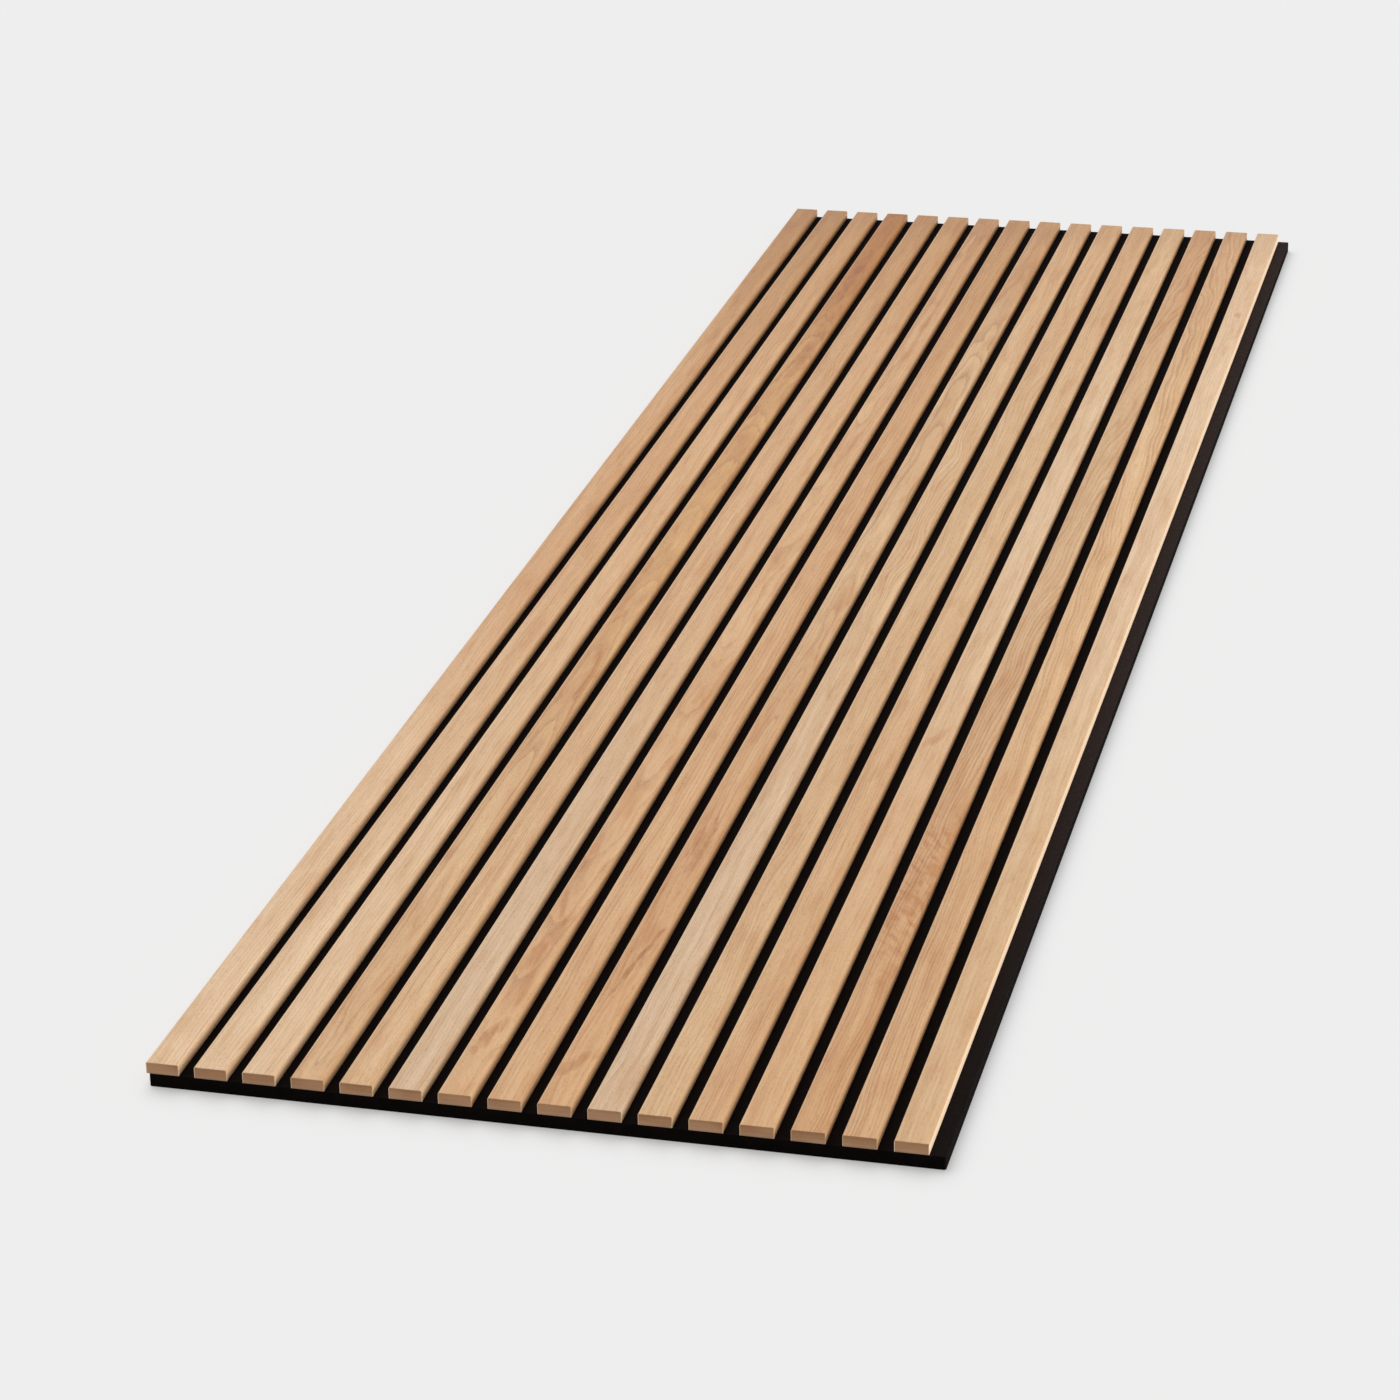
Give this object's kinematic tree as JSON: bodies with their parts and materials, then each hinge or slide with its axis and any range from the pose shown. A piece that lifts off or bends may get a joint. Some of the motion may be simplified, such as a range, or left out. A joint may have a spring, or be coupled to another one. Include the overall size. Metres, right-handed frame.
{
  "type": "acoustic slat wall panel",
  "caption": "Long flat wall panel: narrow oak-veneered slats in an even row on a dark felt sheet, which stands out past the last slat on one long side.",
  "frame": {"origin": "middle of the panel's back face, half way across its full width and half way along it", "axes": "+X across the slats towards the felt tongue, +Y along the slats, +Z out of the wall towards the room"},
  "size_m": [0.64, 2.4, 0.021],
  "materials": {
    "felt": "pressed felt, near black",
    "mdf_core": "bare board, saw cut",
    "oak_veneer": "oak veneer, oiled",
    "staple_steel": "galvanised wire"
  },
  "bodies": {
    "root": {"felt_backing": "felt", "slat_core_01": "mdf_core", "slat_core_02": "mdf_core", "slat_core_03": "mdf_core", "slat_core_04": "mdf_core", "slat_core_05": "mdf_core", "slat_core_06": "mdf_core", "slat_core_07": "mdf_core", "slat_core_08": "mdf_core", "slat_core_09": "mdf_core", "slat_core_10": "mdf_core", "slat_core_11": "mdf_core", "slat_core_12": "mdf_core", "slat_core_13": "mdf_core", "slat_core_14": "mdf_core", "slat_core_15": "mdf_core", "slat_core_16": "mdf_core", "slat_veneer_01": "oak_veneer", "slat_veneer_02": "oak_veneer", "slat_veneer_03": "oak_veneer", "slat_veneer_04": "oak_veneer", "slat_veneer_05": "oak_veneer", "slat_veneer_06": "oak_veneer", "slat_veneer_07": "oak_veneer", "slat_veneer_08": "oak_veneer", "slat_veneer_09": "oak_veneer", "slat_veneer_10": "oak_veneer", "slat_veneer_11": "oak_veneer", "slat_veneer_12": "oak_veneer", "slat_veneer_13": "oak_veneer", "slat_veneer_14": "oak_veneer", "slat_veneer_15": "oak_veneer", "slat_veneer_16": "oak_veneer", "staples": "staple_steel"}
  },
  "joints": []
}
